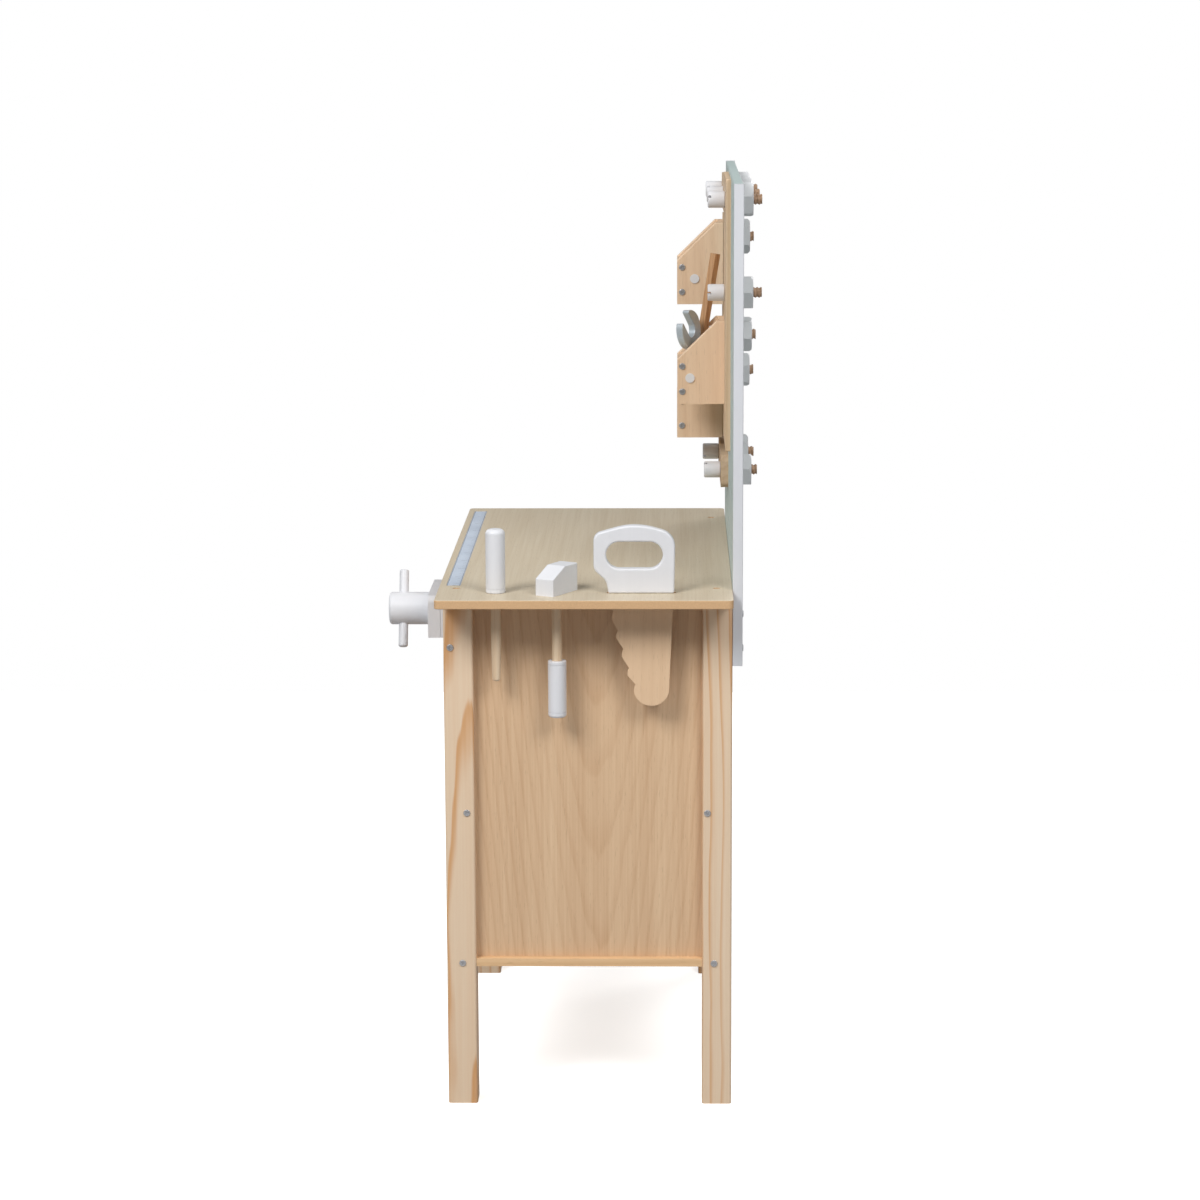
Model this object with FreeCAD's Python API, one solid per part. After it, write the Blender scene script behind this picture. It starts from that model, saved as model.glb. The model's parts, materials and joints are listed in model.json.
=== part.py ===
import FreeCAD, Part
import math
import os

# Toy workbench, millimetres. +Z up, +X to the right of a child standing at the bench,
# -Y towards the child. The table is laid out about its own centre, and Y_SHIFT then
# moves the whole bench so that the origin is the bottom centre of its bounding box.

# Table
TABLE_L, TABLE_D, TABLE_T, TABLE_TOP = 600.0, 296.0, 9.0, 537.0
LEG, LEG_OUT_X, LEG_ROUND = 30.0, 245.0, 2.5
LEG_Y = {"front": -143.0, "back": 118.0}      # low Y side of each leg
PANEL_T, PANEL_OUT_X = 8.0, 234.0
LOW_SHELF_T, LOW_SHELF_Z, LOW_SHELF_X = 8.0, 146.0, 243.0
MID_SHELF_T, MID_SHELF_Z = 14.0, 301.0
SHELF_Y = (-132.0, 136.0)
APRON_T, APRON_H = 14.0, 98.0
EDGE = 1.0                                     # softened board edges

# Peg board
BOARD_Y, BOARD_T, BOARD_Z, BOARD_TOP = 148.0, 10.0, 460.0, 941.0
BOARD_X, POST_W = 245.0, 10.0
PITCH, TOP_ROW_Z, ROWS, COLUMNS = 49.0, 912.0, 8, 9
PEG_HOLE_R = 6.2
PLATE_T, PLATE_X, PLATE_Z = 5.0, 80.0, (655.0, 937.0)
PLANK_W = 36.0

# Toy bolts and nuts
HEAD_R, HEAD_L, BOLT_R, BOLT_L = 8.85, 18.0, 5.7, 39.5
SLOT_W, SLOT_T = 2.6, 3.5                      # driver slot across the head
NUT_AF, NUT_T, NUT_BORE_R, NUT_BEVEL = 33.0, 15.0, 5.8, 2.5

# Tool boxes
BOX_W, BOX_D, BOX_H, BOX_LIP_H = 62.0, 50.0, 89.0, 48.5
BOX_WALL, BOX_FRONT_T, BOX_BACK_T, BOX_FLOOR_T, BOX_FLAT = 8.0, 11.0, 5.0, 5.0, 8.3
BOX_BACK_Y = BOARD_Y - PLATE_T
BOX_BOLT_H = 72.0                              # bolt above the box's underside

# Vise
JAW_X, JAW_Z, JAW_T, FIXED_JAW_T, JAW_GAP = 55.0, (452.0, 497.0), 13.0, 16.0, 0.3
KNOB_R, KNOB_L, VISE_Z, VISE_R = 17.5, 45.0, 474.0, 6.0
BAR_R, BAR_L, BAR_TILT, BAR_INSET = 5.0, 85.0, 22.0, 15.0

# Tools that hang in the worktop
TOOL_X = 255.0
DRIVER_Y, HAMMER_Y = -89.0, -28.0
FIT = 0.1                                      # radial gap of glued and running fits
LOOSE = 0.5                                    # gap round a tool in its hole

# Wood screws
SCREW_HEAD_R, SCREW_HEAD_T, SCREW_R, SCREW_L, SHORT_L = 3.5, 1.2, 1.8, 38.0, 18.0

VEC = FreeCAD.Vector
FRONT_MOST = -TABLE_D / 2 + 5.0 - FIXED_JAW_T - JAW_GAP - JAW_T - KNOB_L
REAR_MOST = BOARD_Y - PLATE_T + BOLT_L
Y_SHIFT = -(FRONT_MOST + REAR_MOST) / 2

nodes = {}


def keep(name, *solids):
    """Store a node made of one solid, or of several separate ones."""
    nodes[name] = list(solids)


def block(x0, x1, y0, y1, z0, z1):
    return Part.makeBox(x1 - x0, y1 - y0, z1 - z0, VEC(x0, y0, z0))


def rod(r, length, start, axis):
    return Part.makeCylinder(r, length, VEC(*start), VEC(*axis))


def soften(shape, radius, test):
    """Round the edges that the test picks."""
    edges = [e for e in shape.Edges if test(e)]
    return shape.makeFillet(radius, edges) if edges else shape


def runs_along(axis):
    """A test for straight edges that run along one axis."""
    def test(edge):
        a, b = edge.Vertexes[0].Point, edge.Vertexes[-1].Point
        span = [abs(b.x - a.x), abs(b.y - a.y), abs(b.z - a.z)]
        return sum(span) > 1e-6 and span[axis] > 0.999 * sum(span)
    return test


def plank(x0, x1, y0, y1, z0, z1, axis, radius=EDGE):
    """A board with its four long edges softened; axis is the way they run."""
    return soften(block(x0, x1, y0, y1, z0, z1), radius, runs_along(axis))


def outline(points, thickness_vec):
    """A plate from a list of corner points (x, y, z) pushed along a vector."""
    wire = Part.makePolygon([VEC(*p) for p in points + points[:1]])
    return Part.Face(wire).extrude(VEC(*thickness_vec))


def rounded_plate(corners, thickness_vec):
    """A plate from corner points, each (point, radius), with its corners rounded in its own plane."""
    points = [VEC(*p) for p, _ in corners]
    edges, last, first = [], None, None
    for k, (point, radius) in enumerate(zip(points, [r for _, r in corners])):
        back = (points[k - 1] - point).normalize()
        ahead = (points[(k + 1) % len(points)] - point).normalize()
        half = back.getAngle(ahead) / 2
        start, stop = point + back * (radius / math.tan(half)), point + ahead * (radius / math.tan(half))
        middle = point + (back + ahead).normalize() * (radius / math.sin(half) - radius)
        if last is not None:
            edges.append(Part.LineSegment(last, start))
        first = first or start
        edges.append(Part.Arc(start, middle, stop))
        last = stop
    edges.append(Part.LineSegment(last, first))
    return Part.Face(Part.Wire([e.toShape() for e in edges])).extrude(VEC(*thickness_vec))


def cut_all(shape, tools):
    for tool in tools:
        shape = shape.cut(tool)
    return shape.removeSplitter()


def wood_screw(start, axis, length=SCREW_L, grow=0.0):
    """A button-head screw; start is the surface under its head, axis is the way it goes in."""
    back = [start[i] - SCREW_HEAD_T * axis[i] for i in range(3)]
    head = rod(SCREW_HEAD_R + grow, SCREW_HEAD_T, back, axis)
    shank = rod(SCREW_R + grow, length + grow, start, axis)
    return head.fuse(shank).removeSplitter()


# ---- where the toy bolts go: name, column, row, face that the head rests on
def peg(column, row):
    """X and Z of a peg hole, counting columns from the middle and rows from the top."""
    return column * PITCH, TOP_ROW_Z - row * PITCH


PLATE_Y = BOARD_Y - PLATE_T
LOW_PLANK_T = 8.0
FREE_BOLTS = [                                 # name, column and row, turn of the nut
    ("top_mid", peg(0, 0), 12.0), ("top_left", peg(-2, 0), 41.0),
    ("top_far", peg(-4, 0), 25.0), ("plate", peg(0, 2), 3.0),
]
HELD_BOLTS = [                                 # name, column and row, face under the head, turn
    ("a", peg(-3, 1), BOX_BACK_Y - BOX_BACK_T, 33.0), ("b", peg(-1, 3), BOX_BACK_Y - BOX_BACK_T, 50.0),
    ("c", peg(-3, 4), BOX_BACK_Y - BOX_BACK_T, 18.0),
    ("near", peg(-1, 6), BOARD_Y - LOW_PLANK_T, 8.0), ("far", peg(-4, 6), BOARD_Y - LOW_PLANK_T, 37.0),
]
BOX_CAPS = {"a": 19.0, "b": 13.5, "c": None}  # cap behind the front edge


# ---- screws of the frame and the boxes
def side_screws():
    """Screws that go in through the outer faces of the legs, on both sides."""
    spots = [(-136.0, 479.0), (-121.0, 308.0), (-127.0, 150.0), (123.0, 308.0), (130.0, 150.0)]
    return [((side * LEG_OUT_X, y, z), (-side, 0, 0)) for side in (1, -1) for y, z in spots]


def top_screws():
    """Sunk screws of the worktop; the front left one lies under the scale."""
    spots = [(1, -130.0, 1.2), (-1, -130.0, 4.2), (1, 132.0, 1.2), (-1, 132.0, 1.2)]
    return [((side * (LEG_OUT_X - LEG / 2), y, TABLE_TOP - SCREW_HEAD_T - down), (0, 0, -1))
            for side, y, down in spots]


def board_screws():
    return [((side * (LEG_OUT_X - 20.0), BOARD_Y + BOARD_T, z), (0, -1, 0))
            for side in (1, -1) for z in (475.0, 510.0)]


def box_places():
    """Centre X and underside Z of each tool box, from the bolt that holds it."""
    spots = {name: spot for name, spot, _, _ in HELD_BOLTS}
    return {key: (spots[key][0], spots[key][1] - BOX_BOLT_H, cap) for key, cap in BOX_CAPS.items()}


def box_screws():
    places = []
    for x, z, _ in box_places().values():
        for side in (1, -1):
            for up in (13.4, 40.5):
                places.append(((x + side * BOX_W / 2, BOX_BACK_Y - BOX_D + 5.4, z + up), (-side, 0, 0)))
    return places


frame_places = side_screws() + top_screws() + board_screws()
keep("frame_screws", *[wood_screw(s, a) for s, a in frame_places])
keep("box_screws", *[wood_screw(s, a, SHORT_L) for s, a in box_screws()])
screw_room = Part.Compound([wood_screw(s, a, SCREW_L, FIT) for s, a in frame_places]
                           + [wood_screw(s, a, SHORT_L, FIT) for s, a in box_screws()])


# ---- table
def tabletop():
    """The worktop with a groove for the scale and the tool holes at its right end."""
    top = block(-TABLE_L / 2, TABLE_L / 2, -TABLE_D / 2, TABLE_D / 2, TABLE_TOP - TABLE_T, TABLE_TOP)
    top = soften(top, 5.0, runs_along(2))
    top = soften(top, EDGE, lambda e: abs(e.BoundBox.ZMin - e.BoundBox.ZMax) < 1e-6)
    groove = block(SCALE_X[0] - 0.2, SCALE_X[1] + 2.0, SCALE_Y[0] - 0.2, SCALE_Y[1] + 0.2,
                   TABLE_TOP - SCALE_T, TABLE_TOP + 1)
    holes = [rod(DRIVER_R + 0.75, 40, (TOOL_X, DRIVER_Y, TABLE_TOP - 20), (0, 0, 1)),
             rod(GRIP_R + LOOSE, 40, (TOOL_X, HAMMER_Y, TABLE_TOP - 20), (0, 0, 1)),
             block(TOOL_X - BLADE_T / 2 - LOOSE, TOOL_X + BLADE_T / 2 + LOOSE,
                   BLADE_Y[0] - 2.0, BLADE_Y[1] + 2.0, TABLE_TOP - 20, TABLE_TOP + 20)]
    wells = [rod(SCREW_HEAD_R + 0.6, 9, (s[0], s[1], s[2]), (0, 0, 1)) for s, _ in top_screws()]
    return cut_all(top, [groove] + holes + wells + [screw_room])


SCALE_X, SCALE_Y, SCALE_T = (-277.0, 213.0), (-141.0, -127.0), 2.5
DRIVER_R, DRIVER_TIP_R = 5.1, 4.1
GRIP_R, GRIP_Z = 9.25, (410.0, 468.0)
BLADE_T, BLADE_Y, BLADE_TIP_Z = 6.0, (24.0, 89.0), 422.0

LEG_H = TABLE_TOP - TABLE_T
keep("tabletop", tabletop())
keep("scale_strip", block(*SCALE_X, *SCALE_Y, TABLE_TOP - SCALE_T, TABLE_TOP - 0.3))
for end, y in LEG_Y.items():
    for side, x in (("right", LEG_OUT_X - LEG), ("left", -LEG_OUT_X)):
        keep("leg_%s_%s" % (end, side), plank(x, x + LEG, y, y + LEG, 0, LEG_H, 2, LEG_ROUND).cut(screw_room))

INNER_Y = (LEG_Y["front"] + LEG, LEG_Y["back"])
LEG_IN_X = LEG_OUT_X - LEG
for side, x in (("right", PANEL_OUT_X - PANEL_T), ("left", -PANEL_OUT_X)):
    keep("side_panel_" + side, block(x, x + PANEL_T, *INNER_Y, LOW_SHELF_Z + LOW_SHELF_T, LEG_H).cut(screw_room))


def shelf(reach_x, z, thick):
    """A board that fills the space between the legs and reaches out between them to reach_x."""
    middle = block(-LEG_IN_X, LEG_IN_X, *SHELF_Y, z, z + thick)
    wings = block(-reach_x, reach_x, *INNER_Y, z, z + thick)
    return middle.fuse(wings).removeSplitter().cut(screw_room)


keep("shelf_low", shelf(LOW_SHELF_X, LOW_SHELF_Z, LOW_SHELF_T))
keep("shelf_mid", shelf(PANEL_OUT_X - PANEL_T, MID_SHELF_Z, MID_SHELF_T))

vise_hole = rod(VISE_R + 0.35, 80, (0, LEG_Y["front"] - 40, VISE_Z), (0, 1, 0))
apron = plank(-LEG_IN_X, LEG_IN_X, LEG_Y["front"], LEG_Y["front"] + APRON_T, LEG_H - APRON_H, LEG_H, 0)
keep("front_apron", cut_all(apron, [vise_hole, screw_room]))


# ---- peg board
def peg_holes(columns, rows, y0, y1):
    """Rods that drill the peg holes of a range of columns and rows."""
    spots = [peg(c, r) for c in columns for r in rows]
    return [rod(PEG_HOLE_R, y1 - y0, (x, y0, z), (0, 1, 0)) for x, z in spots]


half = COLUMNS // 2
panel = plank(-BOARD_X + POST_W, BOARD_X - POST_W, BOARD_Y, BOARD_Y + BOARD_T, BOARD_Z, BOARD_TOP, 0, 2.0)
all_holes = Part.Compound(peg_holes(range(-half, half + 1), range(ROWS), BOARD_Y - 1, BOARD_Y + BOARD_T + 1))
keep("peg_panel", panel.cut(all_holes).cut(screw_room))
for side, x in (("right", BOARD_X - POST_W), ("left", -BOARD_X)):
    keep("board_post_" + side, plank(x, x + POST_W, BOARD_Y, BOARD_Y + BOARD_T, BOARD_Z, BOARD_TOP, 2))

plate = plank(-PLATE_X, PLATE_X, PLATE_Y, BOARD_Y, *PLATE_Z, 1)
keep("centre_plate", plate.cut(Part.Compound(peg_holes(range(-1, 2), range(6), PLATE_Y - 1, BOARD_Y + 1))))


def toy_plank(x0, x1, z0, z1, y0, columns, rows):
    """A perforated building plank that toy bolts clamp to the board."""
    body = plank(x0, x1, y0, BOARD_Y, z0, z1, 1, 8.0)
    return body.cut(Part.Compound(peg_holes(columns, rows, y0 - 1, BOARD_Y + 1)))


low_z = peg(0, 6)[1]
keep("plank_low", toy_plank(-4 * PITCH - PLANK_W / 2, -PITCH + PLANK_W / 2, low_z - PLANK_W / 2,
                            low_z + PLANK_W / 2, BOARD_Y - LOW_PLANK_T, range(-4, 0), [6]))
side_x, top_z = peg(-3, 0)
keep("plank_side", toy_plank(side_x - PLANK_W / 2, side_x + PLANK_W / 2, 643.0, 889.0, PLATE_Y, [-3], range(1, 6)))
keep("plank_top", toy_plank(-4 * PITCH - PLANK_W / 2, -PLATE_X - 1, top_z - PLANK_W / 2, top_z + PLANK_W / 2,
                            PLATE_Y, range(-4, -1), [0]))


# ---- tool boxes
def box_end(x0, z0):
    """End wall: upright lip at the front, then a slope up to a short flat at the back."""
    y0, y1 = BOX_BACK_Y - BOX_D, BOX_BACK_Y
    points = [(x0, y0, z0), (x0, y1, z0), (x0, y1, z0 + BOX_H), (x0, y1 - BOX_FLAT, z0 + BOX_H),
              (x0, y0, z0 + BOX_LIP_H)]
    wall = outline(points, (BOX_WALL, 0, 0))
    sloped = lambda e: e.BoundBox.ZMin > z0 + BOX_LIP_H - 1 and e.BoundBox.XMax - e.BoundBox.XMin < 1e-6
    return soften(wall, 1.5, lambda e: sloped(e) and e.BoundBox.YMax - e.BoundBox.YMin > 1)


def tool_box(key, x, z, cap_y):
    ins = BOX_W / 2 - BOX_WALL
    y0, y1 = BOX_BACK_Y - BOX_D, BOX_BACK_Y
    for end, x0 in (("near", x + ins), ("far", x - BOX_W / 2)):
        wall = box_end(x0, z).cut(screw_room)
        if end == "near" and cap_y:
            cap = box_cap(x, y0 + cap_y, z + 28.0)
            caps.append(cap)
            wall = wall.cut(rod(3.0 + FIT, 4.0, (x + BOX_W / 2 - 4.0, y0 + cap_y, z + 28.0), (1, 0, 0)))
        keep("box_%s_end_%s" % (key, end), wall)
    front = block(x - ins, x + ins, y0, y0 + BOX_FRONT_T, z, z + BOX_LIP_H)
    front = soften(front, EDGE, lambda e: runs_along(0)(e) and e.BoundBox.ZMax > z + 1)
    keep("box_%s_front" % key, front.cut(screw_room))
    back = block(x - ins, x + ins, y1 - BOX_BACK_T, y1, z, z + BOX_H)
    keep("box_%s_back" % key, back.cut(rod(PEG_HOLE_R, 20, (x, y1 - 10, z + BOX_BOLT_H), (0, 1, 0))))
    keep("box_%s_floor" % key, block(x - ins, x + ins, y0 + BOX_FRONT_T, y1 - BOX_BACK_T, z, z + BOX_FLOOR_T))


def box_cap(x, y, z):
    face = x + BOX_W / 2
    disc = rod(5.0, 1.2, (face, y, z), (1, 0, 0))
    return disc.fuse(rod(3.0, 4.0, (face - 4.0, y, z), (1, 0, 0))).removeSplitter()


caps = []
for key, (x, z, cap_y) in box_places().items():
    tool_box(key, x, z, cap_y)
keep("box_caps", *caps)


# ---- toy bolts and nuts
def toy_bolt(x, z, y, turn):
    """Slotted round head on the front, thick shaft through the board; y is the face under the head."""
    head = rod(HEAD_R, HEAD_L, (x, y - HEAD_L, z), (0, 1, 0))
    head = soften(head, 1.5, lambda e: abs(e.BoundBox.YMax - (y - HEAD_L)) < 1e-3)
    slot = block(x - 20, x + 20, y - HEAD_L - 1, y - HEAD_L + SLOT_T, z - SLOT_W / 2, z + SLOT_W / 2)
    slot.rotate(VEC(x, y, z), VEC(0, 1, 0), turn)
    head = head.cut(slot)
    shaft = rod(BOLT_R, BOLT_L, (x, y, z), (0, 1, 0))
    shaft = shaft.makeChamfer(1.0, [e for e in shaft.Edges if e.BoundBox.YMin > y + BOLT_L - 1e-3])
    return head.fuse(shaft).removeSplitter()


def toy_nut(x, z, turn):
    """Hexagonal nut behind the board, with its outer corners turned off."""
    y = BOARD_Y + BOARD_T
    corner = NUT_AF / math.sqrt(3)
    angles = [math.radians(turn + 60 * k) for k in range(6)]
    body = outline([(x + corner * math.cos(a), y, z + corner * math.sin(a)) for a in angles], (0, NUT_T, 0))
    cone = Part.makeCone(corner + NUT_T - NUT_BEVEL, corner - NUT_BEVEL, NUT_T, VEC(x, y, z), VEC(0, 1, 0))
    return body.common(cone).cut(rod(NUT_BORE_R, 40, (x, y - 5, z), (0, 1, 0)))


for name, (x, z), turn in FREE_BOLTS:
    keep("bolt_" + name, toy_bolt(x, z, PLATE_Y, 2 * turn))
    keep("nut_" + name, toy_nut(x, z, turn))
keep("bolts_held", *[toy_bolt(x, z, y, 2 * turn) for _, (x, z), y, turn in HELD_BOLTS])
keep("nuts_held", *[toy_nut(x, z, turn) for _, (x, z), _, turn in HELD_BOLTS])


# ---- vise
def jaw(y0, thick):
    body = block(-JAW_X, JAW_X, y0, y0 + thick, *JAW_Z)
    body = soften(body, 8.0, lambda e: runs_along(1)(e) and e.BoundBox.ZMax > JAW_Z[1] - 1e-3)
    return body.cut(vise_room)


fixed_y = LEG_Y["front"] - FIXED_JAW_T
moving_y = fixed_y - JAW_GAP - JAW_T
vise_room = rod(VISE_R + 0.35, 120, (0, moving_y - 40, VISE_Z), (0, 1, 0))
keep("vise_fixed_jaw", jaw(fixed_y, FIXED_JAW_T))
keep("vise_jaw", jaw(moving_y, JAW_T))

bar_dir = VEC(-math.sin(math.radians(BAR_TILT)), 0, math.cos(math.radians(BAR_TILT)))
bar_mid = VEC(0, moving_y - KNOB_L + BAR_INSET, VISE_Z)


def cross_bar(r, length):
    return Part.makeCylinder(r, length, bar_mid - bar_dir * (length / 2), bar_dir)


screw_start = bar_mid.y + BAR_R + 4.0
knob = rod(KNOB_R, KNOB_L, (0, moving_y - KNOB_L, VISE_Z), (0, 1, 0))
knob = soften(knob, 3.5, lambda e: e.BoundBox.YMax < moving_y - KNOB_L + 1e-3)
screw_bore = rod(VISE_R + FIT, 60, (0, screw_start, VISE_Z), (0, 1, 0))
keep("vise_knob", knob.cut(cross_bar(BAR_R + FIT, 2 * BAR_L)).cut(screw_bore))
keep("vise_screw", rod(VISE_R, -88.0 - screw_start, (0, screw_start, VISE_Z), (0, 1, 0)))
bar = cross_bar(BAR_R, BAR_L)
keep("vise_bar", soften(bar, 2.0, lambda e: e.Closed and e.Length < 2 * math.pi * BAR_R + 1))


# ---- screwdriver
DRIVER_TOP, DRIVER_TIP_Z, DRIVER_HANDLE_R, SOCKET, TAPER_L = 601.5, 447.0, 9.8, 25.0, 38.0


def ring_groove(r, y, z, depth=0.5, wide=0.9):
    """What is cut away for a fine groove turned round an upright tool."""
    return rod(r + 1, wide, (TOOL_X, y, z), (0, 0, 1)).cut(rod(r - depth, wide, (TOOL_X, y, z), (0, 0, 1)))


handle = rod(DRIVER_HANDLE_R, DRIVER_TOP - TABLE_TOP, (TOOL_X, DRIVER_Y, TABLE_TOP), (0, 0, 1))
handle = soften(handle, 5.0, lambda e: e.BoundBox.ZMin > DRIVER_TOP - 1e-3)
handle = soften(handle, 1.2, lambda e: e.BoundBox.ZMax < TABLE_TOP + 1e-3)
handle = handle.cut(ring_groove(DRIVER_HANDLE_R, DRIVER_Y, TABLE_TOP + 4.0))
keep("screwdriver_handle", handle.cut(rod(DRIVER_R + FIT, SOCKET, (TOOL_X, DRIVER_Y, TABLE_TOP), (0, 0, 1))))
taper_z = DRIVER_TIP_Z + TAPER_L
stem = rod(DRIVER_R, TABLE_TOP + SOCKET - taper_z, (TOOL_X, DRIVER_Y, taper_z), (0, 0, 1))
taper = Part.makeCone(DRIVER_TIP_R, DRIVER_R, TAPER_L, VEC(TOOL_X, DRIVER_Y, DRIVER_TIP_Z), VEC(0, 0, 1))
stem = stem.fuse(taper).removeSplitter()
keep("screwdriver_shaft", soften(stem, 2.4, lambda e: e.BoundBox.ZMax < DRIVER_TIP_Z + 1e-3))


# ---- hammer
HAMMER_TURN, HEAD_LONG, HEAD_WIDE, HEAD_TALL, NOSE_TALL, NOSE_RUN = -29.0, 48.0, 20.6, 27.8, 17.0, 23.0
HAMMER_SHAFT_R, HEAD_SOCKET, GRIP_SOCKET = 5.15, 18.0, 35.0


def hammer_head():
    """A block whose near end slopes down to a lower nose."""
    n, w = HEAD_LONG / 2, HEAD_WIDE / 2
    side = [(-n, -w, 0), (n, -w, 0), (n, -w, NOSE_TALL), (n - NOSE_RUN, -w, HEAD_TALL), (-n, -w, HEAD_TALL)]
    body = outline(side, (0, HEAD_WIDE, 0))
    body = soften(body, EDGE, lambda e: e.BoundBox.ZMax > 1)
    body = body.cut(rod(HAMMER_SHAFT_R + FIT, HEAD_SOCKET, (0, 0, 0), (0, 0, 1)))
    body.rotate(VEC(0, 0, 0), VEC(0, 0, 1), HAMMER_TURN)
    body.translate(VEC(TOOL_X, HAMMER_Y, TABLE_TOP))
    return body


keep("hammer_head", hammer_head())
shaft_z = GRIP_Z[1] - GRIP_SOCKET
keep("hammer_shaft", rod(HAMMER_SHAFT_R, TABLE_TOP + HEAD_SOCKET - shaft_z, (TOOL_X, HAMMER_Y, shaft_z), (0, 0, 1)))
grip = rod(GRIP_R, GRIP_Z[1] - GRIP_Z[0], (TOOL_X, HAMMER_Y, GRIP_Z[0]), (0, 0, 1))
grip = soften(grip, 3.0, lambda e: e.BoundBox.ZMax < GRIP_Z[0] + 1e-3)
grip = soften(grip, 1.0, lambda e: e.BoundBox.ZMin > GRIP_Z[1] - 1e-3)
for z in (GRIP_Z[0] + 5.0, GRIP_Z[1] - 4.5):
    grip = grip.cut(ring_groove(GRIP_R, HAMMER_Y, z))
keep("hammer_grip", grip.cut(rod(HAMMER_SHAFT_R + FIT, GRIP_SOCKET, (TOOL_X, HAMMER_Y, shaft_z), (0, 0, 1))))


# ---- saw
SAW_T = 12.0


def saw_handle():
    """A closed D handle: arched top, a hand hole, and a notch at its lower front corner."""
    x, base = TOOL_X - SAW_T / 2, TABLE_TOP
    rim = [(24, 0, 2), (89.5, 0, 2.5), (90.5, 60, 18), (50, 71, 70), (9, 59.5, 9), (9, 24, 10), (21.5, 12.5, 12)]
    body = rounded_plate([((x, y, base + z), r) for y, z, r in rim], (SAW_T, 0, 0))
    hole_r = 13.5
    y0, y1, z = 21.5 + hole_r, 78 - hole_r, base + 38.5
    hole = block(x - 1, x + SAW_T + 1, y0, y1, z - hole_r, z + hole_r)
    for y in (y0, y1):
        hole = hole.fuse(rod(hole_r, SAW_T + 2, (x - 1, y, z), (1, 0, 0)))
    body = body.cut(hole.removeSplitter())
    slot = block(TOOL_X - BLADE_T / 2 - FIT, TOOL_X + BLADE_T / 2 + FIT, BLADE_Y[0] + 4, BLADE_Y[1] - 4,
                 base - 1, base + 16)
    on_face = lambda e: e.BoundBox.XMax - e.BoundBox.XMin < 1e-6 and e.BoundBox.ZMax > base + 1
    return soften(body, 2.0, on_face).cut(slot)


def saw_blade():
    """A tapering blade with scalloped teeth along its front edge."""
    x = TOOL_X - BLADE_T / 2
    p = lambda y, z: VEC(x, y, z)
    top, mouth, end = TABLE_TOP + 16, TABLE_TOP, BLADE_TIP_Z
    toes = [(24.0, 527.0), (27.0, 510.0), (31.5, 491.0), (37.0, 472.0), (42.5, 453.0), (49.0, 436.0)]
    tail, crown = p(84.0, 436.0), p(BLADE_Y[1], mouth)
    edges = [Part.LineSegment(p(BLADE_Y[1] - 4, top), p(BLADE_Y[0] + 4, top)),
             Part.LineSegment(p(BLADE_Y[0] + 4, top), p(BLADE_Y[0] + 4, mouth)),
             Part.LineSegment(p(BLADE_Y[0] + 4, mouth), p(BLADE_Y[0], mouth)),
             Part.LineSegment(p(BLADE_Y[0], mouth), p(*toes[0]))]
    for (ya, za), (yb, zb) in zip(toes, toes[1:]):
        edges.append(Part.LineSegment(p(ya, za), p(yb + 1.5, zb + 8.0)))
        edges.append(Part.Arc(p(yb + 1.5, zb + 8.0), p(yb + 0.2, zb + 4.0), p(yb, zb)))
    edges += [Part.Arc(p(*toes[-1]), p(66.0, end), tail), Part.LineSegment(tail, crown),
              Part.LineSegment(crown, p(BLADE_Y[1] - 4, mouth)),
              Part.LineSegment(p(BLADE_Y[1] - 4, mouth), p(BLADE_Y[1] - 4, top))]
    return Part.Face(Part.Wire([e.toShape() for e in edges])).extrude(VEC(BLADE_T, 0, 0))


keep("saw_handle", saw_handle())
keep("saw_blade", saw_blade())


# ---- open-ended wrench, leaning in box B
WRENCH_T, WRENCH_HEAD_R, WRENCH_GAP, WRENCH_STEM, WRENCH_WIDE = 8.0, 21.0, 16.0, 70.0, 13.0
WRENCH_JAW_TURN, WRENCH_LEAN, WRENCH_TWIST, WRENCH_NOD = 24.0, 14.0, 62.0, 4.0
WRENCH_AT = (-37.0, 105.0, 771.0)


def wrench():
    """Made upright about the middle of its head, then leaned in its own plane, turned and nodded forward."""
    t = WRENCH_T
    body = rod(WRENCH_HEAD_R, t, (-t / 2, 0, 0), (1, 0, 0))
    stem = block(-t / 2, t / 2, -WRENCH_WIDE / 2, WRENCH_WIDE / 2, -WRENCH_STEM, 0)
    stem = soften(stem, 6.0, lambda e: runs_along(0)(e) and e.BoundBox.ZMax < 1 - WRENCH_STEM)
    body = body.fuse(stem).removeSplitter()
    gap = block(-t, t, -WRENCH_GAP / 2, WRENCH_GAP / 2, 0, 40)
    gap = gap.fuse(rod(WRENCH_GAP / 2, 2 * t, (-t, 0, 0), (1, 0, 0))).removeSplitter()
    gap.rotate(VEC(0, 0, 0), VEC(1, 0, 0), WRENCH_JAW_TURN)
    body = body.cut(gap).removeSplitter()
    body = soften(body, 2.0, lambda e: runs_along(0)(e) and e.BoundBox.ZMin > 5)
    body = soften(body, 4.0, lambda e: runs_along(0)(e) and -30 < e.BoundBox.ZMin < -5)
    body = soften(body, EDGE, lambda e: e.BoundBox.XMax - e.BoundBox.XMin < 1e-6)
    body.rotate(VEC(0, 0, 0), VEC(1, 0, 0), WRENCH_LEAN)
    body.rotate(VEC(0, 0, 0), VEC(0, 0, 1), WRENCH_TWIST)
    body.rotate(VEC(0, 0, 0), VEC(1, 0, 0), WRENCH_NOD)
    body.translate(VEC(*WRENCH_AT))
    return body


keep("wrench", wrench())


# ---- square stick, leaning in box B
STICK_W, STICK_X = 8.0, -65.2
STICK_LOW, STICK_HIGH = VEC(STICK_X, 110.0, 699.5), VEC(STICK_X, 134.0, 850.0)


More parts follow.
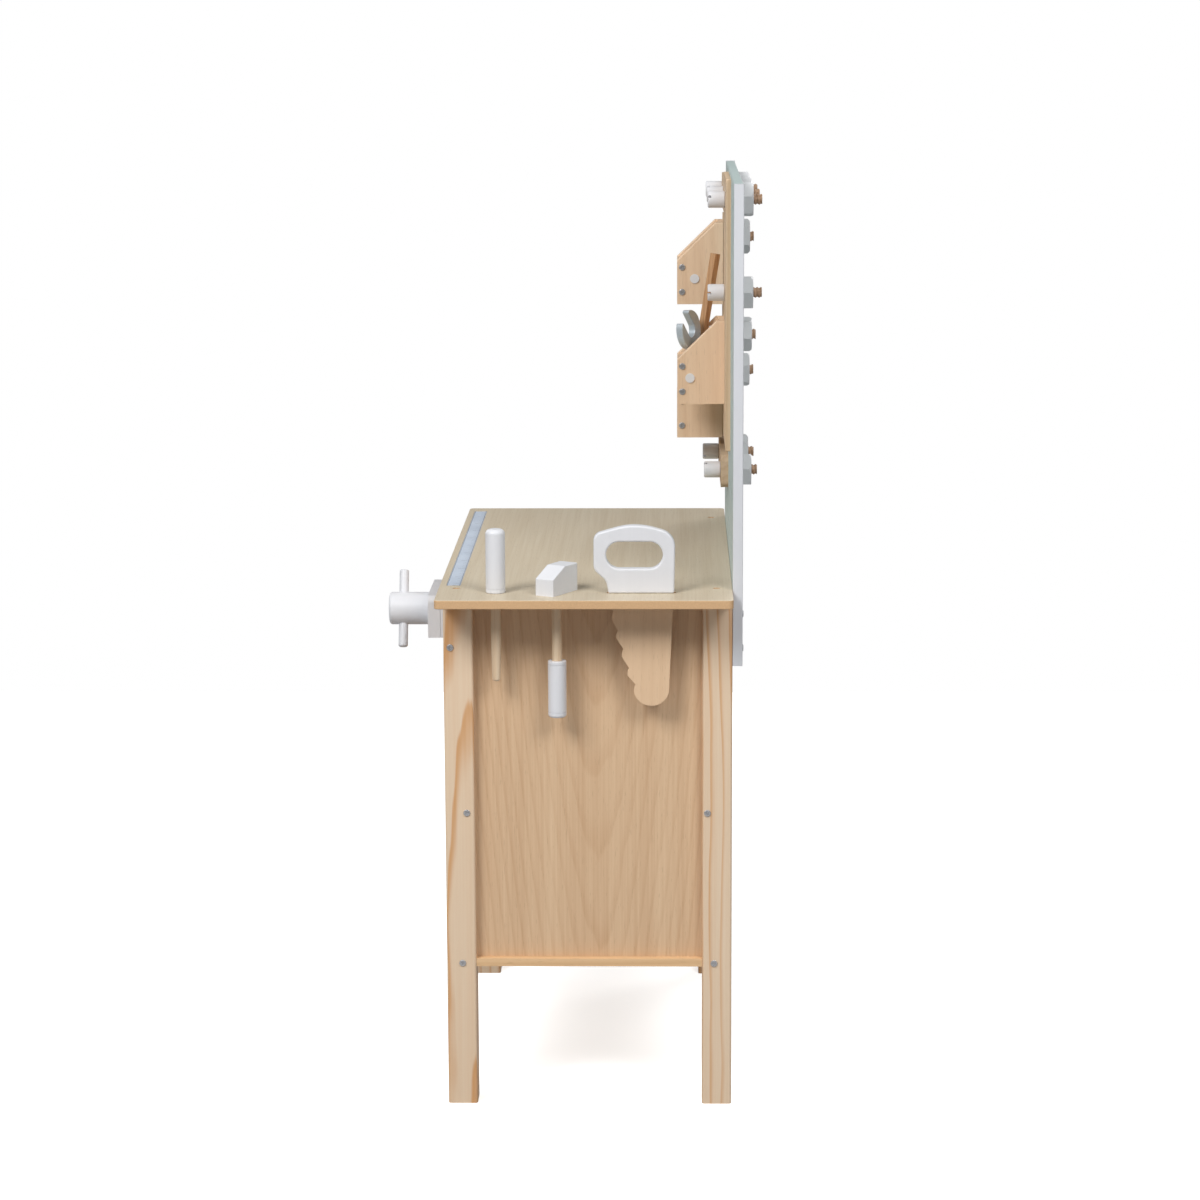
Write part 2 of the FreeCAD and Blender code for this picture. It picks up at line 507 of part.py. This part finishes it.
def square_stick():
    way = STICK_HIGH - STICK_LOW
    body = block(-STICK_W / 2, STICK_W / 2, -STICK_W / 2, STICK_W / 2, 0, way.Length)
    body = soften(body, 0.8, runs_along(2))
    body.rotate(VEC(0, 0, 0), VEC(0, 0, 1), 45.0)
    body.rotate(VEC(0, 0, 0), VEC(1, 0, 0), -math.degrees(math.atan2(way.y, way.z)))
    body.translate(STICK_LOW)
    return body


keep("square_stick", square_stick())


# ---- write the nodes
os.makedirs("parts", exist_ok=True)
for name, solids in nodes.items():
    flat = [s for shape in solids for s in shape.Solids]
    for solid in flat:
        solid.translate(VEC(0, Y_SHIFT, 0))
    shape = flat[0] if len(flat) == 1 else Part.Compound(flat)
    shape.exportStep("parts/%s.step" % name)
    print("%-20s %d solid(s) %8.1f cm3 valid %s" % (name, len(flat), shape.Volume / 1000, shape.isValid()))
print(len(nodes), "nodes, Y shift", Y_SHIFT)
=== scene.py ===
import bpy
import json
import math
import random
from mathutils import Matrix, Vector

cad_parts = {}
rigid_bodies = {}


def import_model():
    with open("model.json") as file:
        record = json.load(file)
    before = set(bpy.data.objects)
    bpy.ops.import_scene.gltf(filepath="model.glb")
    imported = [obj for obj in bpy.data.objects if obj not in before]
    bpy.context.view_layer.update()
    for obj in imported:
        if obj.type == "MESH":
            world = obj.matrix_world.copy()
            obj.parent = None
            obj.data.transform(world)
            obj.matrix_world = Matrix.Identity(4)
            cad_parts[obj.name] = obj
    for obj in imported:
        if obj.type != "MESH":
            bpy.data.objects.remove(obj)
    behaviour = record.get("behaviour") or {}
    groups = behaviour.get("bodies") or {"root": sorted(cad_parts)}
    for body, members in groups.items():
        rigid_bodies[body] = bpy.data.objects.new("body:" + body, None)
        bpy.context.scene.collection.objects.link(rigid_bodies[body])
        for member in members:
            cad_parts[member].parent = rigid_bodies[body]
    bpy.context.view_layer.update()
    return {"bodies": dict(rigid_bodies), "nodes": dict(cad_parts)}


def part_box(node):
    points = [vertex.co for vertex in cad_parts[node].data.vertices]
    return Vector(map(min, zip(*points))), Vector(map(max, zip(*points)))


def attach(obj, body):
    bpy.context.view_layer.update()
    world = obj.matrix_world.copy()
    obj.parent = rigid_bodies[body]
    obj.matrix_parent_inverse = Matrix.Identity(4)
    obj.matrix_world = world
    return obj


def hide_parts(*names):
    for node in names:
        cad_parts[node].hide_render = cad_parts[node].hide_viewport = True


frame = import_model()
bpy.ops.object.select_all(action="DESELECT")
nodes = frame["nodes"]
MM = 0.001
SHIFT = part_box("vise_knob")[0].y / MM + 217.3   # the table's own middle, in mm from the origin


def at(x, y, z):
    """A place given in mm from the middle of the table."""
    return Vector((x, y + SHIFT, z)) * MM


# ---------------------------------------------------------------- shader maths
class Val:
    """A shader socket that Python's operators can work on."""

    def __init__(self, tree, socket):
        self.tree, self.socket = tree, socket

    def math(self, operation, *others, clamp=False):
        node = self.tree.nodes.new("ShaderNodeMath")
        node.operation, node.use_clamp = operation, clamp
        for slot, value in zip(node.inputs, (self,) + others):
            if isinstance(value, Val):
                self.tree.links.new(value.socket, slot)
            else:
                slot.default_value = value
        return Val(self.tree, node.outputs[0])

    def _turned(self, operation, first):
        node = self.tree.nodes.new("ShaderNodeMath")
        node.operation = operation
        node.inputs[0].default_value = first
        self.tree.links.new(self.socket, node.inputs[1])
        return Val(self.tree, node.outputs[0])

    def __add__(self, o): return self.math("ADD", o)
    def __radd__(self, o): return self.math("ADD", o)
    def __sub__(self, o): return self.math("SUBTRACT", o)
    def __rsub__(self, o): return self._turned("SUBTRACT", o)
    def __mul__(self, o): return self.math("MULTIPLY", o)
    def __rmul__(self, o): return self.math("MULTIPLY", o)
    def __truediv__(self, o): return self.math("DIVIDE", o)
    def __rtruediv__(self, o): return self._turned("DIVIDE", o)
    def __pow__(self, o): return self.math("POWER", o)
    def __gt__(self, o): return self.math("GREATER_THAN", o)
    def __lt__(self, o): return self.math("LESS_THAN", o)
    def __abs__(self): return self.math("ABSOLUTE")


class Finish:
    """One material, with a single way to add a node."""

    def __init__(self, name, **constants):
        self.material = bpy.data.materials.new(name)
        self.material.use_nodes = True
        self.tree = self.material.node_tree
        self.shader = self.tree.nodes["Principled BSDF"]
        for key, value in constants.items():
            self.shader.inputs[key.replace("_", " ")].default_value = value
        self.where = self.node("ShaderNodeTexCoord", {}, {}, "Object")

    def node(self, kind, settings, sockets, output=0):
        made = self.tree.nodes.new(kind)
        for key, value in settings.items():
            if key == "stops":
                ramp = made.color_ramp
                while len(ramp.elements) < len(value):
                    ramp.elements.new(0.5)
                for element, (place, colour) in zip(ramp.elements, value):
                    element.position, element.color = place, colour
            else:
                setattr(made, key, value)
        for key, value in sockets.items():
            self.feed(made.inputs[key], value)
        return Val(self.tree, made.outputs[output])

    def feed(self, slot, value):
        if isinstance(value, Val):
            self.tree.links.new(value.socket, slot)
        else:
            slot.default_value = value

    def axes(self):
        split = self.tree.nodes.new("ShaderNodeSeparateXYZ")
        self.tree.links.new(self.where.socket, split.inputs[0])
        return [Val(self.tree, out) for out in split.outputs]

    def vector(self, x, y, z):
        return self.node("ShaderNodeCombineXYZ", {}, {"X": x, "Y": y, "Z": z})

    def noise(self, vector, scale, detail=3.0, roughness=0.5):
        return self.node("ShaderNodeTexNoise", {}, {"Vector": vector, "Scale": scale, "Detail": detail,
                                                    "Roughness": roughness})

    def mix(self, factor, a, b):
        """Two colours mixed by a factor: 0 gives a, 1 gives b."""
        return self.node("ShaderNodeMix", {"data_type": "RGBA"}, {0: factor, 6: a, 7: b}, 2)

    def ramp(self, value, stops):
        return self.node("ShaderNodeValToRGB", {"stops": stops}, {"Fac": value})

    def step(self, value, low, high):
        """0 below low, 1 above high, smooth between."""
        return self.node("ShaderNodeMapRange", {"interpolation_type": "SMOOTHSTEP"},
                         {"Value": value, "From Min": low, "From Max": high})

    def bump(self, height, strength, distance):
        sockets = {"Height": height, "Strength": strength, "Distance": distance}
        self.feed(self.shader.inputs["Normal"], self.node("ShaderNodeBump", {}, sockets))

    def finish(self, colour, roughness=None):
        self.feed(self.shader.inputs["Base Color"], colour)
        if roughness is not None:
            self.feed(self.shader.inputs["Roughness"], roughness)
        return self.material


def rgb(r, g, b):
    """A linear colour from its 0-255 screen values."""
    def lin(c):
        c /= 255
        return c / 12.92 if c <= 0.04045 else ((c + 0.055) / 1.055) ** 2.4
    return (lin(r), lin(g), lin(b), 1.0)


def wood(name, pale, deep, along, pith, spacing, rings, tilt=0.02, wander=0.02, streaks=0.25, pores=0.2,
         gloss=0.5, patch=0.10, edge=None, band_from=0.35):
    """Sawn wood: growth rings round a leaning pith, long streaks and short dark pores.

    along is the axis of the grain, pith the pith's place across it in metres and tilt how fast it leans.
    rings, streaks, patch and pores say how strongly each of them shows; band_from is where in each ring
    its dark part begins. edge is (height, colour) of a board whose sides below that height are a warmer
    edging.
    """
    f = Finish(name, Roughness=gloss, IOR=1.45)
    axes = f.axes()
    w = axes[along]
    u, v = [a for k, a in enumerate(axes) if k != along]
    drift = f.noise(f.vector(u * 9.0, v * 9.0, w * 1.6), 1.3, 3.0, 0.55) - 0.5
    fine = f.noise(f.vector(u * 90.0, v * 90.0, w * 3.0), 1.0, 2.0, 0.6) - 0.5
    du = u - pith[0] + drift * wander
    dv = v - pith[1] + drift * (wander * 0.6)
    radius = (du * du + dv * dv) ** 0.5 + w * tilt + fine * (spacing * 0.30)
    phase = (radius / spacing).math("FRACT")
    late = f.step(phase, band_from, 0.90) * (1.0 - f.step(phase, 0.90, 1.0))
    amount = f.noise(f.vector(u * 22.0, v * 22.0, w * 1.2), 1.0, 2.0, 0.5)
    streak = f.noise(f.vector(u * 520.0, v * 520.0, w * 7.0), 1.0, 3.0, 0.65)
    band = f.noise(f.vector(u * 130.0, v * 130.0, w * 1.5), 1.0, 2.0, 0.5)
    speck = f.noise(f.vector(u * 1100.0, v * 1100.0, w * 90.0), 1.0, 1.0, 0.5)
    pore = f.step(speck, 0.64, 0.74)
    shade = (late * (amount * 1.4 + 0.3) * rings + (streak - 0.5) * (streaks * 1.8)
             + (band - 0.5) * (streaks * 1.8) + (amount - 0.5) * (patch * 3.0) + 0.28)
    colour = f.mix(shade.math("ADD", 0.0, clamp=True), pale, deep)
    colour = f.mix(pore * pores, colour, tuple(c * 0.5 for c in deep[:3]) + (1.0,))
    if edge:
        side = 1.0 - f.step(axes[2], edge[0] - 0.0006, edge[0] - 0.0002)
        colour = f.mix(side, colour, f.mix(streak, edge[1], tuple(c * 0.72 for c in edge[1][:3]) + (1.0,)))
    f.bump(streak * 0.6 + late * 0.4 - pore * pores, 0.15, 0.0003)
    return f.finish(colour, streak * 0.16 + (gloss - 0.08))


def paint(name, tone, gloss=0.42, grain_along=2, depth=0.12, mottled=0.02):
    """Sprayed paint over wood: a faint orange peel, and the wood's lines just showing through."""
    f = Finish(name, Roughness=gloss, IOR=1.47)
    axes = f.axes()
    w = axes[grain_along]
    u, v = [a for k, a in enumerate(axes) if k != grain_along]
    peel = f.noise(f.where, 380.0, 2.0, 0.55)
    lines = f.noise(f.vector(u * 300.0, v * 300.0, w * 9.0), 1.0, 2.0, 0.6)
    cloud = f.noise(f.where, 14.0, 3.0, 0.55)
    low = tuple(c * (1 - mottled * 2.0) for c in tone[:3]) + (1.0,)
    high = tuple(min(1.0, c * (1 + mottled)) for c in tone[:3]) + (1.0,)
    colour = f.ramp(cloud * 0.7 + lines * 0.3, [(0.3, low), (0.7, high)])
    f.bump(peel * 0.5 + lines * 0.5, depth, 0.0003)
    return f.finish(colour, cloud * 0.10 + lines * 0.06 + (gloss - 0.08))


def steel(name):
    """Bright plated screws, lightly brushed."""
    f = Finish(name, Metallic=0.6, Roughness=0.3)
    grain = f.noise(f.where, 1500.0, 2.0, 0.6)
    f.bump(grain, 0.08, 0.0001)
    return f.finish(f.ramp(grain, [(0.3, rgb(160, 160, 162)), (0.7, rgb(214, 214, 216))]), grain * 0.2 + 0.2)


def scale_print():
    """The measuring strip: pale, with a line along each side and a tick every centimetre."""
    f = Finish("scale_print", Roughness=0.35)
    x, y, _ = f.axes()
    low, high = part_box("scale_strip")
    start = x * -1.0 + high.x
    across = (y - low.y) / (high.y - low.y)
    cell = (start / 0.01).math("FRACT")
    tick = (cell < 0.09) * (across > 0.62)
    half = ((start / 0.005).math("FRACT") < 0.12) * (across > 0.76)
    long = ((start / 0.05).math("FRACT") < 0.02) * (across > 0.40)
    rails = (abs(across - 0.5) > 0.42) * (abs(across - 0.5) < 0.47)
    ink = (tick + half + long + rails).math("ADD", 0.0, clamp=True)
    cloud = f.noise(f.where, 30.0, 3.0, 0.5)
    base = f.ramp(cloud, [(0.3, rgb(192, 204, 220)), (0.7, rgb(206, 217, 232))])
    f.bump(f.noise(f.where, 500.0, 2.0, 0.5), 0.06, 0.0002)
    return f.finish(f.mix(ink * 0.75, base, rgb(112, 118, 128)), cloud * 0.1 + 0.3)


def silver():
    """Silver paint on the wrench."""
    f = Finish("silver_paint", Metallic=0.35, Roughness=0.38, IOR=1.5)
    fleck = f.noise(f.where, 1400.0, 2.0, 0.6)
    cloud = f.noise(f.where, 40.0, 2.0, 0.5)
    f.bump(fleck, 0.08, 0.0001)
    return f.finish(f.ramp(fleck * 0.6 + cloud * 0.4, [(0.3, rgb(168, 180, 188)), (0.7, rgb(205, 214, 220))]),
                    cloud * 0.12 + 0.3)


worktop_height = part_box("tabletop")[1].z
laminate_top = wood("beech_worktop", rgb(212, 200, 178), rgb(188, 170, 142), 0, (-0.9, 0.62), 0.030, 0.12,
                    tilt=0.02, wander=0.05, streaks=0.30, pores=0.22, gloss=0.42, patch=0.10,
                    edge=(worktop_height, rgb(222, 182, 138)))
laminate_side = wood("beech_panel", rgb(226, 196, 161), rgb(172, 124, 82), 2, (0.200, 0.030), 0.0085, 0.12,
                     tilt=-0.105, wander=0.024, streaks=0.22, pores=0.16, gloss=0.45, patch=0.08,
                     band_from=0.5)
shelf_wood = wood("beech_shelf", rgb(234, 198, 154), rgb(198, 154, 108), 1, (0.1, 0.3), 0.010, 0.2)
apron_wood = wood("pine_apron", rgb(222, 202, 172), rgb(200, 156, 106), 0, (-0.05, 0.42), 0.012, 0.4)
LEG_PITHS = {"leg_front_right": (0.296, -0.092, 0.030), "leg_back_right": (0.250, 0.172, -0.008),
             "leg_front_left": (-0.20, -0.19, 0.03), "leg_back_left": (-0.268, 0.20, -0.02)}
legs = {name: wood("pine_" + name, rgb(233, 216, 192), rgb(206, 150, 94), 2, (x, y), 0.0105, 0.55,
                   tilt=lean, wander=0.030, streaks=0.12, pores=0.03, gloss=0.48, patch=0.05, band_from=0.55)
        for name, (x, y, lean) in LEG_PITHS.items()}
box_wood = wood("box_wood", rgb(240, 214, 184), rgb(208, 170, 134), 2, (0.5, -0.45), 0.011, 0.10, tilt=0.06,
                wander=0.03, streaks=0.20, pores=0.22)
plate_wood = wood("plate_wood", rgb(228, 204, 174), rgb(196, 160, 122), 2, (0.3, 0.7), 0.010, 0.2)
plank_wood = wood("plank_wood", rgb(208, 184, 156), rgb(172, 140, 108), 0, (0.4, 0.2), 0.009, 0.25,
                  gloss=0.55)
turned_wood = wood("turned_wood", rgb(226, 206, 178), rgb(196, 160, 122), 2, (0.30, 0.06), 0.006, 0.2)
thread_wood = wood("thread_wood", rgb(196, 164, 136), rgb(150, 114, 86), 1, (0.05, 0.6), 0.005, 0.3,
                   gloss=0.6)
stick_wood = wood("stick_wood", rgb(206, 164, 122), rgb(164, 118, 80), 2, (0.05, 0.6), 0.004, 0.4, gloss=0.55)
blade_wood = wood("blade_wood", rgb(230, 200, 166), rgb(200, 162, 126), 2, (0.2, 0.3), 0.009, 0.08,
                  streaks=0.14)
white = paint("white_paint", rgb(222, 223, 227))
white_board = paint("white_edge", rgb(212, 214, 219))
sage = paint("sage_paint", rgb(184, 200, 198), gloss=0.45)
grey = paint("grey_paint", rgb(219, 220, 222), gloss=0.42, grain_along=1)
cap_white = paint("cap_white", rgb(228, 228, 230), gloss=0.3)
screw_steel = steel("screw_steel")

finishes = {
    "tabletop": laminate_top, "side_panel_right": laminate_side, "side_panel_left": laminate_side,
    "shelf_low": shelf_wood, "shelf_mid": shelf_wood, "front_apron": apron_wood, "scale_strip": scale_print(),
    "peg_panel": sage, "board_post_right": white_board, "board_post_left": white_board,
    "centre_plate": plate_wood, "plank_low": plank_wood, "plank_side": plate_wood, "plank_top": plate_wood,
    "screwdriver_shaft": turned_wood, "hammer_shaft": turned_wood, "saw_blade": blade_wood,
    "square_stick": stick_wood, "wrench": silver(), "vise_screw": turned_wood, "box_caps": cap_white,
}
finishes.update(legs)
for name in nodes:
    if name.startswith("nut"):
        finishes[name] = grey
    elif name.startswith("box_") and name not in finishes:
        finishes[name] = box_wood
for name, piece in nodes.items():
    piece.data.materials.clear()
    piece.data.materials.append(finishes.get(name, white))


# ---------------------------------------------------------------- modelling helpers
def start_clean():
    bpy.ops.object.select_all(action="DESELECT")


def active(name):
    piece = bpy.context.object
    piece.name = piece.data.name = name
    return piece


def shape_up(piece, kind, **settings):
    """Adds a modifier to a piece and applies it."""
    start_clean()
    piece.select_set(True)
    bpy.context.view_layer.objects.active = piece
    modifier = piece.modifiers.new(kind, kind)
    for key, value in settings.items():
        setattr(modifier, key, value)
    bpy.ops.object.modifier_apply(modifier=modifier.name)


def cut_with(piece, cutter):
    shape_up(piece, "BOOLEAN", operation="DIFFERENCE", object=cutter, solver="EXACT")
    bpy.data.objects.remove(cutter)


def join(pieces, name):
    start_clean()
    for piece in pieces:
        piece.select_set(True)
    bpy.context.view_layer.objects.active = pieces[0]
    bpy.ops.object.join()
    return active(name)


def turned(piece, place, facing, spin=0.0):
    """A copy of a piece modelled about +Z, put at a place and facing along a direction."""
    copy = bpy.data.objects.new(piece.name + "_copy", piece.data.copy())
    bpy.context.scene.collection.objects.link(copy)
    swing = Vector(facing).to_track_quat("Z", "Y").to_matrix().to_4x4()
    spun = Matrix.Rotation(spin, 4, "Z") @ piece.matrix_basis
    copy.data.transform(Matrix.Translation(place) @ swing @ spun)
    return copy


def smooth(piece, angle=35):
    start_clean()
    piece.select_set(True)
    bpy.context.view_layer.objects.active = piece
    bpy.ops.object.shade_smooth_by_angle(angle=math.radians(angle))


def dress(piece, finish):
    piece.data.materials.clear()
    piece.data.materials.append(finish)


# ---------------------------------------------------------------- cross-head screws
SCREW_HEAD_R, SCREW_HEAD_T, SHANK_R = 3.5, 1.2, 1.8
RECESS_LONG, RECESS_WIDE, RECESS_MIDDLE = 3.8, 0.9, 1.1


def cross_screw(length):
    """A low domed head with a cross recess and a plain shank, head up, resting on z = 0."""
    start_clean()
    bpy.ops.mesh.primitive_cylinder_add(vertices=32, radius=SCREW_HEAD_R * MM, depth=SCREW_HEAD_T * MM,
                                        location=(0, 0, SCREW_HEAD_T / 2 * MM))
    head = active("screw_head")
    shape_up(head, "BEVEL", width=0.7 * MM, segments=4, limit_method="ANGLE")
    for angle in (0, 90):
        start_clean()
        bpy.ops.mesh.primitive_cube_add(size=1, location=(0, 0, RECESS_MIDDLE * MM),
                                        rotation=(0, 0, math.radians(angle)),
                                        scale=(RECESS_LONG * MM, RECESS_WIDE * MM, SCREW_HEAD_T * MM))
        cut_with(head, active("recess"))
    start_clean()
    bpy.ops.mesh.primitive_cylinder_add(vertices=16, radius=SHANK_R * MM, depth=length * MM,
                                        location=(0, 0, -length * MM / 2))
    return join([head, active("shank")], "screw")


def set_screws(name, node, length, places):
    """One joined piece with a screw at each (place, facing), in the room of a CAD node."""
    master = cross_screw(length)
    draw = random.Random(len(places))
    copies = [turned(master, at(*place), facing, draw.uniform(0, math.pi)) for place, facing in places]
    bpy.data.objects.remove(master)
    row = join(copies, name)
    smooth(row, 30)
    dress(row, screw_steel)
    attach(row, "bench")
    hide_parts(node)


LEG_SPOTS = [(-136.0, 479.0), (-121.0, 308.0), (-127.0, 150.0), (123.0, 308.0), (130.0, 150.0)]
frame_places = [((side * 245.0, y, z), (side, 0, 0)) for side in (1, -1) for y, z in LEG_SPOTS]
frame_places += [((side * 230.0, y, 535.8 - down), (0, 0, 1))
                 for side, y, down in ((1, -130, 1.2), (-1, -130, 4.2), (1, 132, 1.2), (-1, 132, 1.2))]
frame_places += [((side * 225.0, 158.0, z), (0, 1, 0)) for side in (1, -1) for z in (475.0, 510.0)]
set_screws("leg_screws", "frame_screws", 37, frame_places)

BOX_SPOTS = [(-147.0, 791.0), (-49.0, 693.0), (-147.0, 644.0)]
box_places = [((x + side * 31.0, 98.4, z + up), (side, 0, 0))
              for x, z in BOX_SPOTS for side in (1, -1) for up in (13.4, 40.5)]
set_screws("box_end_screws", "box_screws", 17, box_places)


# ---------------------------------------------------------------- toy bolts
BOLT_HEAD_R, BOLT_HEAD_L, SHORT_HEAD_L = 8.85, 18.0, 11.0
DRIVER_SLOT = (30.0, 2.6, 7.0)                 # longer than the head is wide; half of its height cuts
THREAD_R, THREAD_ROOT, THREAD_PITCH, THREAD_L = 5.65, 4.75, 4.0, 39.3
BOX_SEAT, PLATE_SEAT, PLANK_SEAT = 138.0, 143.0, 140.0   # Y of the face under the heads


def thread(radius, root, pitch, length, name):
    """A coarse wooden thread along +Z from z = 0, closed at both ends."""
    start_clean()
    bpy.ops.mesh.primitive_plane_add(size=MM, location=(0, 0, 0))
    rod = active(name)
    bpy.ops.object.mode_set(mode="EDIT")
    bpy.ops.mesh.merge(type="CENTER")
    bpy.ops.transform.translate(value=(root * MM, 0, -2 * pitch * MM))
    rise = radius - root
    for dx, dz in ((rise, 0.30), (0.0, 0.18), (-rise, 0.30), (0.0, 0.22)):
        move = (dx * MM, 0, dz * pitch * MM)
        bpy.ops.mesh.extrude_region_move(TRANSFORM_OT_translate={"value": move})
    bpy.ops.object.mode_set(mode="OBJECT")
    turns = int(length / pitch) + 4
    shape_up(rod, "SCREW", axis="Z", angle=2 * math.pi, screw_offset=pitch * MM, iterations=turns,
             steps=24, render_steps=24, use_merge_vertices=True, merge_threshold=1e-5)
    bpy.ops.object.mode_set(mode="EDIT")
    for height, outer in ((0.0, False), (length * MM, True)):
        bpy.ops.mesh.select_all(action="SELECT")
        bpy.ops.mesh.bisect(plane_co=(0, 0, height), plane_no=(0, 0, 1), use_fill=True,
                            clear_inner=not outer, clear_outer=outer)
    bpy.ops.mesh.select_all(action="SELECT")
    bpy.ops.mesh.normals_make_consistent(inside=False)
    bpy.ops.object.mode_set(mode="OBJECT")
    return rod


def bolt_head(turn, tall):
    """A turned head with a softened rim and a driver slot; its face is up, its seat is at z = 0."""
    start_clean()
    bpy.ops.mesh.primitive_cylinder_add(vertices=64, radius=BOLT_HEAD_R * MM, depth=tall * MM,
                                        location=(0, 0, tall * MM / 2))
    head = active("head")
    shape_up(head, "BEVEL", width=1.5 * MM, segments=4, limit_method="ANGLE")
    start_clean()
    bpy.ops.mesh.primitive_cube_add(size=1, location=(0, 0, tall * MM), rotation=(0, 0, turn),
                                    scale=[width * MM for width in DRIVER_SLOT])
    cut_with(head, active("slot"))
    return head


shaft_master = thread(THREAD_R, THREAD_ROOT, THREAD_PITCH, THREAD_L, "shaft_master")
BOLTS = {                                      # x, seat, z and turn of each bolt of a node
    "bolt_top_mid": [(0, PLATE_SEAT, 912, 0.4)],
    "bolt_top_left": [(-98, PLATE_SEAT, 912, 1.2)],
    "bolt_top_far": [(-196, PLATE_SEAT, 912, 2.0)],
    "bolt_plate": [(0, PLATE_SEAT, 814, 0.0)],
    "bolts_held": [(-147, BOX_SEAT, 863, 0.7), (-49, BOX_SEAT, 765, 1.9), (-147, BOX_SEAT, 716, 0.2),
                   (-49, PLANK_SEAT, 618, 1.0), (-196, PLANK_SEAT, 618, 2.6)]}
for node, spots in BOLTS.items():
    body = node if node in frame["bodies"] else "bench"
    heads, shafts = [], []
    for x, y, z, turn in spots:
        head = bolt_head(turn, SHORT_HEAD_L if y == BOX_SEAT else BOLT_HEAD_L)
        heads.append(turned(head, at(x, y, z), (0, -1, 0)))
        bpy.data.objects.remove(head)
        shafts.append(turned(shaft_master, at(x, y, z), (0, 1, 0), turn))
    head, shaft = join(heads, node + "_head"), join(shafts, node + "_thread")
    for piece, finish, slot in ((head, white, "white_paint"), (shaft, thread_wood, "plain_wood")):
        smooth(piece, 30)
        dress(piece, finish)
        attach(piece, body)
        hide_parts(node)
bpy.data.objects.remove(shaft_master)


# ---------------------------------------------------------------- stage, light and camera
start_clean()
bpy.ops.mesh.primitive_plane_add(size=3.6, location=(0, 0, 0))
floor = active("floor")
pale = Finish("pale_floor", Roughness=0.9, Emission_Strength=1.0)
seen_first = pale.node("ShaderNodeLightPath", {}, {})   # the floor looks pale but lights the bench little
glow = pale.mix(seen_first, (0.04, 0.04, 0.04, 1), (0.62, 0.62, 0.62, 1))
pale.feed(pale.shader.inputs["Emission Color"], glow)
dress(floor, pale.finish(pale.mix(seen_first, (0.40, 0.40, 0.40, 1), (0.90, 0.90, 0.90, 1))))

scene = bpy.context.scene
scene.view_settings.view_transform = "Standard"
scene.view_settings.look = "None"
world = bpy.data.worlds.new("studio")
scene.world = world
world.use_nodes = True
sky = world.node_tree
seen, lit = sky.nodes["Background"], sky.nodes.new("ShaderNodeBackground")
seen.inputs["Color"].default_value = lit.inputs["Color"].default_value = (1, 1, 1, 1)
seen.inputs["Strength"].default_value, lit.inputs["Strength"].default_value = 1.0, 0.16
ray, both = sky.nodes.new("ShaderNodeLightPath"), sky.nodes.new("ShaderNodeMixShader")
sky.links.new(ray.outputs["Is Camera Ray"], both.inputs[0])
sky.links.new(lit.outputs[0], both.inputs[1])
sky.links.new(seen.outputs[0], both.inputs[2])
sky.links.new(both.outputs[0], sky.nodes["World Output"].inputs["Surface"])


def softbox(name, place, target, size, power):
    light = bpy.data.lights.new(name, "AREA")
    light.shape, light.size, light.size_y, light.energy = "RECTANGLE", size[0], size[1], power
    lamp = bpy.data.objects.new(name, light)
    scene.collection.objects.link(lamp)
    lamp.location = place
    lamp.rotation_euler = (Vector(target) - Vector(place)).to_track_quat("-Z", "Y").to_euler()


softbox("key_left", (2.2, -1.5, 2.7), (0.2, 0, 0.5), (1.3, 1.3), 80)
softbox("key_right", (2.2, 1.3, 2.5), (0.2, 0, 0.5), (1.1, 1.1), 40)
softbox("over", (0.1, -0.1, 3.2), (0.1, 0, 0.4), (1.6, 1.6), 9)
softbox("behind", (-2.2, 1.6, 1.9), (0, 0, 0.5), (1.4, 1.4), 26)
softbox("behind_left", (-1.8, -2.0, 1.6), (0, 0, 0.4), (1.4, 1.4), 13)

CAMERA_PLACE, LENS_MM = (3.4710, 0.1034, 1.1163), 98.2
PITCH, YAW, ROLL = math.radians(10.34), math.radians(1.26), math.radians(-0.234)
ahead = Vector((-math.cos(PITCH) * math.cos(YAW), -math.cos(PITCH) * math.sin(YAW), -math.sin(PITCH)))
side = Vector((-math.sin(YAW), math.cos(YAW), 0.0))
above = side.cross(ahead)
level_side, level_above = side, above
side = level_side * math.cos(ROLL) + level_above * math.sin(ROLL)
above = level_above * math.cos(ROLL) - level_side * math.sin(ROLL)
lens = bpy.data.cameras.new("camera")
lens.sensor_width, lens.lens = 36.0, LENS_MM
camera = bpy.data.objects.new("camera", lens)
scene.collection.objects.link(camera)
pose = Matrix((side, above, -ahead)).transposed().to_4x4()
pose.translation = CAMERA_PLACE
camera.matrix_world = pose
scene.camera = camera
